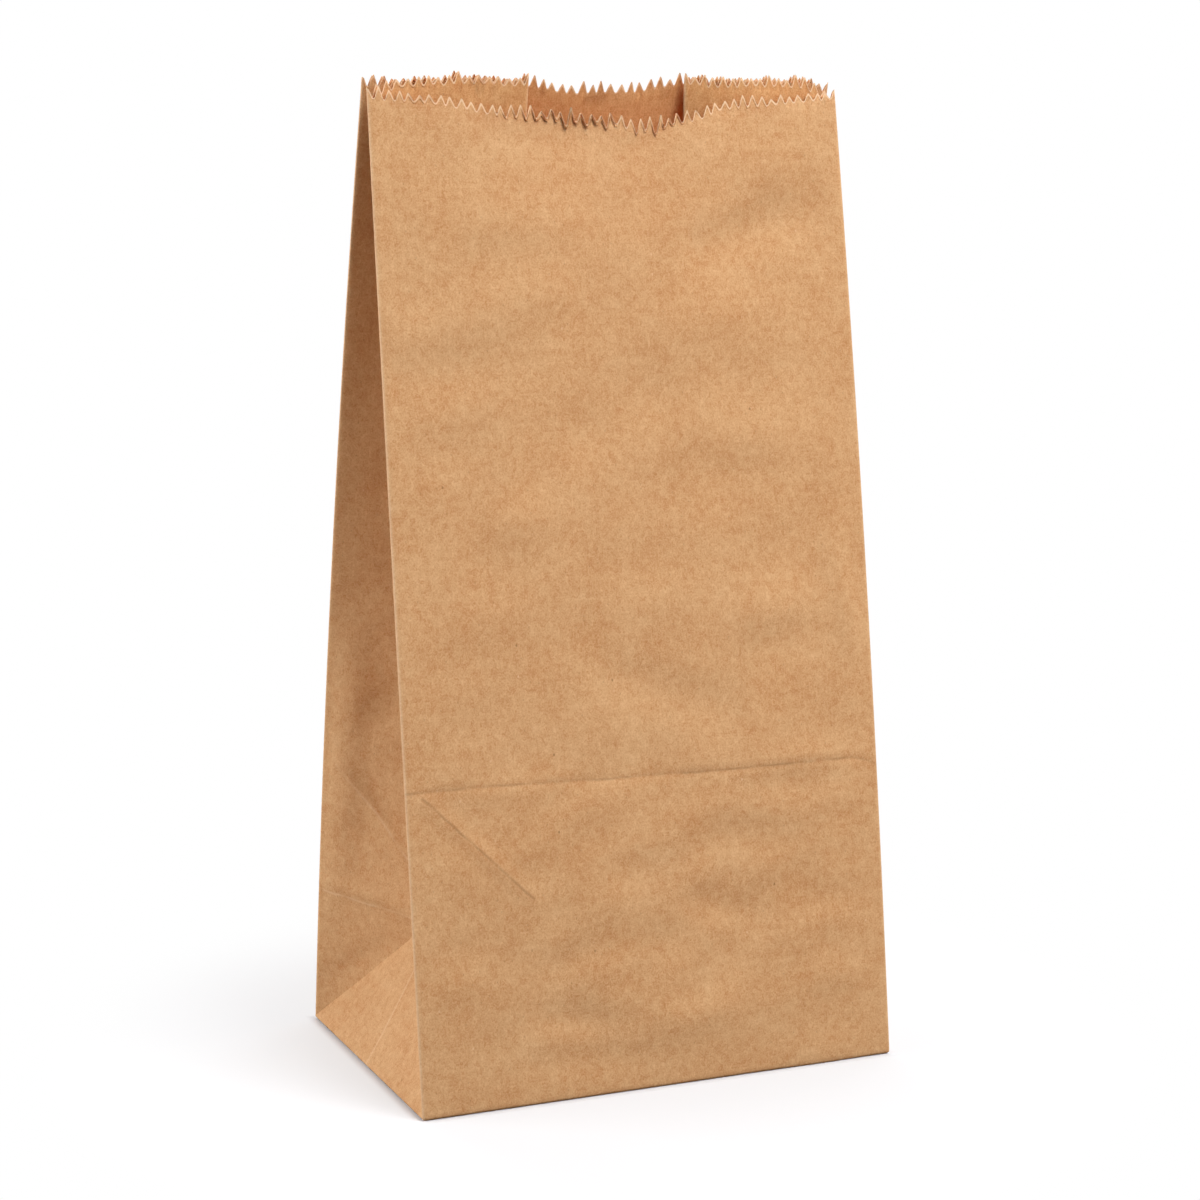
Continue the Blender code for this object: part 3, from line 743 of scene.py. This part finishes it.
def dent_heights(flat, sizes):
    """Height of the listed dents and ridges at each point of the flat sheet."""
    spots = np.array(flat) * 1000
    turn = whole_turn(sizes) * 1000
    total = np.zeros(len(spots))
    laps = [(dent, lap) for dent in DENTS for lap in (-1, 0, 1)]
    for (x0, y0, x1, y1, width, height), lap in laps:
        start = np.array((x0 + lap * turn, y0))
        way = np.array((x1 - x0, y1 - y0))
        share = np.clip((spots - start) @ way / (way @ way), 0, 1)
        away = np.hypot(*(spots - start - share[:, None] * way).T)
        taper = DENT_ENDS + (1 - DENT_ENDS) * np.sin(np.pi * share)
        total += height / 1000 * np.exp(-(away / width) ** 2) * taper
    near = [np.abs((spots[:, 0] - fold * 1000 + turn / 2) % turn - turn / 2)
            for fold in corner_folds(sizes)]
    calm = np.clip(np.min(near, axis=0) / DENT_FADE, 0, 1)
    return sizes.dents * total * calm * calm * (3 - 2 * calm)


def place_along(teeth, places, x):
    """Place along the sheet of a column, or of a point between two that shapes a tooth."""
    column = min(int(x + 1e-6), len(places) - 2)
    share = x - column
    start, end = places[column], places[column + 1]
    if 0 < share < 1 and end - start > pitch(teeth.sizes) * 0.45:
        at_tip = abs(teeth.phase(start)[1] % 1 - 0.5) > 0.25
        shares = TIP_SHARES if at_tip else VALLEY_SHARES
        share = float(np.interp(share * (TOOTH_CUTS + 1), range(len(shares)), shares))
    return start + (end - start) * share


def lip_place(teeth, along, band):
    """Place along a point of the lip, its height, its height once curled, and its curl."""
    line = lip_line(teeth.sizes, along)
    level = teeth.level(along)
    tooth = level * teeth.sizes.tooth_height
    strip = STRIP_WIDTH + STRIP_GAIN * min(1, max(0, level * 4))
    under = min(line - VALLEY_LINE, line + tooth - strip - STRIP_GAP)
    height = place = (line - BAND_FOOT, under, line + tooth - strip, line + tooth)[band]
    bend = 0
    if band > 1:
        above = max(0, height - line)
        curl = teeth.bend(along)
        if abs(curl) > 1:
            bend = (1 - math.cos(curl * above)) / curl
            place = height - above + math.sin(curl * above) / curl
        along += teeth.between(teeth.shift, along) * smooth(band / LIP_CELLS)
    return along, height, place, bend


def lay_picture(mesh, flat):
    """Lays the paper's surface over a ply at true size, by its points' places on the sheet."""
    layer = mesh.uv_layers[0]
    layer.name = "flat_sheet"
    for loop in mesh.loops:
        layer.data[loop.index].uv = flat[loop.vertex_index]


def fold_sheet(sheet, sizes, places, rows, teeth):
    """Gives each point of the flat sheet its place on the bag, and marks folds, cut edges and the
    height from the cross crease, where shade is painted.
    """
    folder = Folder(sizes)
    mesh = sheet.data
    flat, push = [], []
    marks = {"worn_fold": [], "cut_edge": [], "cross_crease": []}
    for vert in mesh.vertices:
        along = place_along(teeth, places, vert.co.x)
        row = round(vert.co.y)
        band = row - len(rows)
        if band < 0:
            height = place = rows[row]
            bend = 0
        else:
            along, height, place, bend = lip_place(teeth, along, band)
        part, _, x = where(sizes, along)
        if part == "front" and band < 0 and height > foot_height(sizes):
            warp = along_path(CREASE_PATH, x) - CREASE_HEIGHT
            pull = 1 - min(1, abs(height - CREASE_HEIGHT) / CREASE_PULL)
            place = height + warp * smooth(pull)
        vert.co = folder.point(along, place)
        flat.append((along, height if band > 1 else place))
        shift = soft_wave(sizes, along, place) - crease_press(sizes, along, height) + bend
        seam = smooth((along - places[0] - whole_turn(sizes) + SEAM_STEP) / SEAM_STEP)
        push.append(shift + seam * sizes.ply * 1.02)
        if part == "gusset":
            fold = min(x, sizes.depth - x, abs(x - half_leg(sizes)))
        else:
            fold = abs(sizes.width / 2 - abs(x))
        fold = min(fold, abs(places[-1] - along))
        marks["worn_fold"].append(math.exp(-(fold / WORN_HALF) ** 2))
        marks["cut_edge"].append(1.0 if band == LIP_CELLS else 0.0)
        marks["cross_crease"].append(1000 * (height - CREASE_HEIGHT) if part == "front" else 99)
    for name, values in marks.items():
        mesh.attributes.new(name, "FLOAT", "POINT").data.foreach_set("value", values)
    lay_picture(mesh, flat)
    mesh.update()
    return np.array(push) + dent_heights(flat, sizes)


def push_out(sheet, push):
    """Moves each point along the sheet's own normal."""
    mesh = sheet.data
    normals = [Vector(v.vector) for v in mesh.vertex_normals]
    for vert, normal, amount in zip(mesh.vertices, normals, push):
        vert.co = vert.co + normal * float(amount)
    mesh.update()


def floor_ply(name, sizes, level):
    """The innermost ply of the base, which the bag's contents stand on."""
    size = (2 * (half_width(sizes, 0) - sizes.base_radius),
            sizes.depth - sizes.ply - 2 * sizes.base_radius)
    floor = flat_grid(name, 12, 8)
    for vert in floor.data.vertices:
        vert.co = (vert.co.x * size[0], vert.co.y * size[1], level)
    thicken(floor, sizes)
    return floor


def base_flap(name, sizes, side, level, maker):
    """One glued flap under the bag: slanted ends, and a saw-toothed free edge past the middle."""
    half_x = half_width(sizes, 0) - sizes.base_radius
    half_y = (sizes.depth - sizes.ply) / 2 - sizes.base_radius
    depth = half_y + sizes.flap_overlap
    cells = 2 * round(2 * (half_x - depth) / pitch(sizes))
    flap = flat_grid(name, cells, 3)
    for vert in flap.data.vertices:
        across, share = vert.co.x * 2, vert.co.y + 0.5
        inward = depth * share
        x = across * (half_x - inward)
        if share > 0.99 and round((across + 1) * cells / 2) % 2:
            inward += sizes.tooth_height * maker.uniform(0.8, 1.1)
        vert.co = (x, side * (half_y - inward), level)
    turn_faces(flap, bpy.ops.mesh.normals_make_consistent)
    thicken(flap, sizes)
    return flap


def face_outward(sheet):
    """Turns the sheet's faces to the outside of the bag."""
    on_front = Vector((0, -0.04, 0.2))
    front = min(sheet.data.polygons, key=lambda p: (p.center - on_front).length)
    if front.normal.y > 0:
        turn_faces(sheet, bpy.ops.mesh.flip_normals)


def arithmetic(operation, swapped=False):
    """A method that adds a math node for an operator."""
    def run(self, other):
        first, second = (other, self) if swapped else (self, other)
        return self.graph.math(operation, first, second)
    return run


class Socket:
    """A shader value that can be used in plain arithmetic."""

    def __init__(self, graph, output):
        self.graph = graph
        self.output = output

    def other(self, index):
        """Another output of the same node."""
        return Socket(self.graph, self.output.node.outputs[index])

    __add__, __radd__ = arithmetic("ADD"), arithmetic("ADD", True)
    __sub__, __rsub__ = arithmetic("SUBTRACT"), arithmetic("SUBTRACT", True)
    __mul__, __rmul__ = arithmetic("MULTIPLY"), arithmetic("MULTIPLY", True)

    def __abs__(self):
        return self.graph.math("ABSOLUTE", self)


class Graph:
    """Builds one material's nodes."""

    def __init__(self, name, tree=None):
        if tree is None:
            self.material = bpy.data.materials.new(name)
            self.material.use_nodes = True
            tree = self.material.node_tree
            self.shader = tree.nodes["Principled BSDF"]
            self.surface = Socket(self, self.shader.outputs[0])
        self.tree = tree

    def node(self, kind, settings=None, out=0, **values):
        """Adds a node; its inputs are given by name, or by number after an underscore."""
        node = self.tree.nodes.new("ShaderNode" + kind)
        for key, value in (settings or {}).items():
            setattr(node, key, value)
        for key, value in values.items():
            socket = node.inputs[int(key[1:])] if key[1:].isdigit() else node.inputs[key]
            self.put(socket, value)
        return Socket(self, node.outputs[out])

    def put(self, socket, value):
        if isinstance(value, Socket):
            self.tree.links.new(value.output, socket)
        else:
            socket.default_value = value

    def math(self, operation, a, b=0.0, clamp=False):
        return self.node("Math", {"operation": operation, "use_clamp": clamp}, _0=a, _1=b)

    def band(self, value, low, high):
        """0 below low, 1 above high, smooth between."""
        settings = {"interpolation_type": "SMOOTHSTEP"}
        return self.node("MapRange", settings, _0=value, _1=low, _2=high, _3=0.0, _4=1.0)

    def mix(self, share, first, second):
        return self.node("Mix", {"data_type": "RGBA"}, out=2, _0=share, _6=first, _7=second)

    def vector(self, operation, a, b, out=0):
        return self.node("VectorMath", {"operation": operation}, out=out, _0=a, _1=b)

    def noise(self, vector, scale, detail, rough):
        return self.node("TexNoise", {"noise_dimensions": "2D"}, Vector=vector,
                         Scale=scale, Detail=detail, Roughness=rough)

    def attribute(self, name):
        return self.node("Attribute", {"attribute_name": name}, out=2)

    def show(self, surface, output="Material Output"):
        self.put(self.tree.nodes[output].inputs["Surface"], surface)


def crease_line_mask(graph, paper, start_x, start_y, end_x, end_y, wander):
    """1 on a line of the flat sheet, fading to 0 at LINE_HALF millimetres from it."""
    way = Vector((end_x - start_x, end_y - start_y, 0))
    size = way.length
    way.normalize()
    offset = graph.vector("SUBTRACT", paper, (start_x, start_y, 0))
    along = graph.vector("DOT_PRODUCT", offset, tuple(way), 1)
    away = graph.vector("DOT_PRODUCT", offset, (-way.y, way.x, 0), 1) + wander * 0.3
    past = graph.math("MAXIMUM", 0.0 - along, along - size)
    return 1 - graph.band(graph.math("MAXIMUM", abs(away), past), 0.0, LINE_HALF)


def kraft_paper(name, look, shade):
    """Brown kraft: mottled fibres, dark and pale flecks, pale folds and cut edges, and painted
    shade along the creases; the whole colour is multiplied by shade, which paints shade on the
    inside copy.
    """
    graph = Graph(name)
    base = tuple(c * s for c, s in zip(look.base[:3], shade))
    dark, pale = tuple(look.dark), tuple(look.pale)
    flat = graph.node("UVMap", {"uv_map": "flat_sheet"})
    paper = graph.node("VectorMath", {"operation": "SCALE"}, Vector=flat, Scale=1000.0)
    grain = graph.node("Mapping", Vector=paper, Scale=(1.0, 0.7, 1.0))
    curly = graph.noise(grain, *CURLY_NOISE)
    hair = 1 - graph.band(abs(curly - 0.5), 0.0, 0.05)
    dark_hair = 1 - graph.band(abs(curly - 0.62), 0.0, 0.05)
    fine, mottle, patch, cloud = (graph.noise(paper, *row) for row in TONE_NOISE)
    tone = ((hair - dark_hair) * look.fibre + (fine - 0.5) * look.grain
            + (mottle - 0.5) * look.mottle + (patch - 0.5) * look.patches
            + (cloud - 0.5) * look.clouds)
    tone = graph.math("ADD", tone, 0.5, clamp=True)
    deep = tuple(c * (1 - s) for c, s in zip(base, look.spread)) + (1,)
    light = tuple(min(1, c * (1 + s)) for c, s in zip(base, look.spread)) + (1,)
    colour = graph.mix(tone, deep, light)
    for scale, size, limit, strength in FLECKS:
        spots = graph.node("TexVoronoi", {"voronoi_dimensions": "2D"}, Vector=grain,
                           Scale=scale)
        pick = graph.node("SeparateColor", Color=spots.other(1))
        near = 1 - graph.band(spots, size * 0.5, size)
        colour = graph.mix(near * graph.band(pick, limit, limit + 0.02) * strength, colour, dark)
        rare = 1 - graph.band(pick, 0.9 - limit * 0.93, 0.93 - limit * 0.93)
        colour = graph.mix(near * rare * (strength * 0.7), colour, pale)
    wander = (mottle - 0.5) * 1.6 + (patch - 0.5) * 2.0
    broken = 0.4 + graph.band(patch, 0.35, 0.6) * 0.6
    # Lines along creases: the dark ones are painted shade, the pale ones paler paper
    for *ends, tint in CREASE_SHADE_AND_PALE_LINES:
        mask = crease_line_mask(graph, paper, *ends, wander)
        colour = graph.mix(mask * broken * abs(tint) * 0.5, colour, dark if tint < 0 else pale)
    # Painted shade: a dark line along the cross crease's groove, broken in patches
    away = abs(graph.attribute("cross_crease") + wander * 0.25)
    crease = (1 - graph.band(away, 0.0, LINE_HALF)) * broken * 0.42
    colour = graph.mix(crease, colour, dark)
    worn = graph.band(graph.attribute("worn_fold"), 0.25, 0.95) * (0.35 + fine * 0.3)
    colour = graph.mix(worn, colour, pale)
    colour = graph.mix(graph.band(graph.attribute("cut_edge"), 0.05, 0.60) * 0.9, colour, pale)
    inputs = graph.shader.inputs
    graph.put(inputs["Base Color"], colour)
    graph.put(inputs["Roughness"], look.roughness + (fine - 0.5) * 0.15)
    inputs["Specular IOR Level"].default_value = 0.25
    rough = fine * 0.9 + mottle * 1.2
    bump = graph.node("Bump", Strength=1.0, Distance=look.relief, Height=rough)
    graph.put(inputs["Normal"], bump)
    through = graph.node("BsdfTranslucent", Color=tuple(look.glow))
    graph.show(graph.node("MixShader", _0=look.light_through,
                          _1=graph.surface, _2=through))
    return graph.material


class PAPERBAG_OT_fold(bpy.types.Operator):
    """Cut, crease and fold the bag from one sheet of kraft paper"""

    bl_idname = "paperbag.fold"
    bl_label = "Fold Bag"
    bl_options = {"REGISTER", "UNDO"}

    def execute(self, context):
        sizes, look = context.scene.bag_sizes, context.scene.paper_look
        places, plain = sheet_columns(sizes)
        rows = sheet_rows(sizes)
        slanted = slanted_lines(sizes, places)
        sheet = cut_flat_sheet("kraft_bag", plain, rows, slanted)
        push = fold_sheet(sheet, sizes, places, rows, Teeth(sizes, TEETH_SEED))
        face_outward(sheet)
        push_out(sheet, push)
        sheet.data.materials.append(kraft_paper("kraft_paper", look, (1, 1, 1)))
        # The inner face gets a darker, more orange copy of the paper: painted shade inside the bag
        sheet.data.materials.append(kraft_paper("kraft_inside", look, look.inside))
        thicken(sheet, sizes, 1)
        maker = random.Random(FLAP_SEED)
        flaps = [base_flap("outer_flap", sizes, 1, sizes.ply * 0.5, maker),
                 base_flap("inner_flap", sizes, -1, sizes.ply * 1.5, maker),
                 floor_ply("floor_ply", sizes, sizes.ply * 2.5)]
        select_none()
        for count, flap in enumerate(flaps):
            flap.select_set(True)
            flap.data.materials.append(sheet.data.materials[0])
            own_place = Vector((1.1 + 0.4 * count, 0.2))
            lay_picture(flap.data, [v.co.xy + own_place for v in flap.data.vertices])
        sheet.select_set(True)
        bpy.context.view_layer.objects.active = sheet
        bpy.ops.object.join()
        bpy.ops.object.shade_smooth_by_angle(angle=math.radians(SHARP_ANGLE))
        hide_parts("paper_bag")
        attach(sheet, "root")
        return {"FINISHED"}


def soft_light(name, round_deg, up_deg, size, power):
    """A square light that faces the bag: degrees round from its front to its right, and up."""
    turn, rise = math.radians(round_deg), math.radians(up_deg)
    way = Vector((math.sin(turn) * math.cos(rise), -math.cos(turn) * math.cos(rise),
                  math.sin(rise)))
    facing = (-way).to_track_quat("-Z", "Y").to_euler()
    bpy.ops.object.light_add(type="AREA", location=BAG_MIDDLE + way * LAMP_DISTANCE,
                             rotation=facing)
    lamp = bpy.context.object
    lamp.name = lamp.data.name = name
    lamp.data.size = size
    lamp.data.energy = power
    lamp.visible_camera = False


def seen_as_white(graph):
    """1 where the camera looks, or a mirror or clear glass shows it, and 0 for light itself."""
    camera = graph.node("LightPath")
    clear = camera.other(6) - camera.other(2)
    return graph.math("MAXIMUM", camera, graph.math("MAXIMUM", camera.other(3), clear))


def floor_paper(look, half_x, half_y):
    """White sweep that keeps the bag's soft shadow and lights nothing by itself."""
    graph = Graph("white_sweep")
    bounced = graph.node("LightPath").other(2)
    graph.put(graph.shader.inputs["Base Color"],
              graph.mix(bounced, tuple(look.floor_colour), tuple(look.floor_bounce)))
    graph.shader.inputs["Roughness"].default_value = 0.9
    graph.shader.inputs["Specular IOR Level"].default_value = 0.0
    glow = graph.node("Emission", Color=(1, 1, 1, 1), Strength=1.0)
    place = graph.node("TexCoord", out=3)
    away = graph.node("VectorMath", {"operation": "LENGTH"}, out=1, _0=place)
    spot = graph.node("SeparateXYZ", Vector=place)
    past = graph.math("MAXIMUM", abs(spot) - half_x, abs(spot.other(1)) - half_y)
    beside = graph.band(past, 0.0, CONTACT_LINE)
    far = graph.band(away, SHADOW_START, SHADOW_END)
    white = look.floor_white * beside + far * (1 - look.floor_white)
    graph.show(graph.node("MixShader", _0=seen_as_white(graph) * white,
                          _1=graph.surface, _2=glow))
    return graph.material


def place_camera():
    turn = Matrix.Identity(3)
    for degrees, axis in ((-CAMERA_YAW, "Z"), (90 - CAMERA_PITCH, "X"), (CAMERA_ROLL, "Z")):
        turn = turn @ Matrix.Rotation(math.radians(degrees), 3, axis)
    bpy.ops.object.camera_add(location=CAMERA_PLACE, rotation=turn.to_euler())
    camera = bpy.context.object
    camera.data.lens = CAMERA_LENS
    camera.data.sensor_width = 36
    camera.data.clip_start = 0.01
    bpy.context.scene.camera = camera


class PAPERBAG_OT_stage(bpy.types.Operator):
    """Set the pale floor, the soft lights and the camera"""

    bl_idname = "paperbag.stage"
    bl_label = "Set Stage"
    bl_options = {"REGISTER", "UNDO"}

    def execute(self, context):
        look = context.scene.stage_look
        select_none()
        bpy.ops.mesh.primitive_plane_add(size=12, location=(0, 0, 0))
        floor = bpy.context.object
        floor.name = floor.data.name = "white_sweep"
        sizes = context.scene.bag_sizes
        floor.data.materials.append(floor_paper(look, sizes.width / 2, sizes.depth / 2))
        for name, (round_deg, up_deg, size) in LAMPS.items():
            power = getattr(look, name + "_power")
            soft_light(name + "_light", round_deg, up_deg, size, power)
        world = bpy.data.worlds.new("studio")
        context.scene.world = world
        world.use_nodes = True
        graph = Graph("studio", world.node_tree)
        even = Socket(graph, world.node_tree.nodes["Background"].outputs[0])
        graph.put(even.output.node.inputs["Color"], (1, 1, 1, 1))
        graph.put(even.output.node.inputs["Strength"], look.sky)
        white = graph.node("Background", Color=(1, 1, 1, 1), Strength=1.0)
        mixed = graph.node("MixShader", _0=seen_as_white(graph), _1=even, _2=white)
        graph.show(mixed, "World Output")
        place_camera()
        context.scene.view_settings.view_transform = "Standard"
        return {"FINISHED"}


class PAPERBAG_PT_panel(bpy.types.Panel):
    """Lists the bag's sizes, its paper and the stage"""

    bl_label = "Paper Bag"
    bl_idname = "PAPERBAG_PT_panel"
    bl_space_type = "VIEW_3D"
    bl_region_type = "UI"
    bl_category = "Paper Bag"

    def draw(self, context):
        scene = context.scene
        for title, group, operator in (("Bag", scene.bag_sizes, "paperbag.fold"),
                                       ("Paper", scene.paper_look, None),
                                       ("Stage", scene.stage_look, "paperbag.stage")):
            box = self.layout.box()
            box.label(text=title)
            for key in group.__annotations__:
                box.prop(group, key)
            if operator:
                box.operator(operator)


CLASSES = (BagSizes, PaperLook, StageLook, PAPERBAG_OT_fold, PAPERBAG_OT_stage, PAPERBAG_PT_panel)


def register():
    for item in CLASSES:
        bpy.utils.register_class(item)
    bpy.types.Scene.bag_sizes = PointerProperty(type=BagSizes)
    bpy.types.Scene.paper_look = PointerProperty(type=PaperLook)
    bpy.types.Scene.stage_look = PointerProperty(type=StageLook)


def unregister():
    del bpy.types.Scene.stage_look
    del bpy.types.Scene.paper_look
    del bpy.types.Scene.bag_sizes
    for item in reversed(CLASSES):
        bpy.utils.unregister_class(item)


def main():
    register()
    bpy.ops.paperbag.fold()
    bpy.ops.paperbag.stage()


if __name__ == "__main__":
    main()
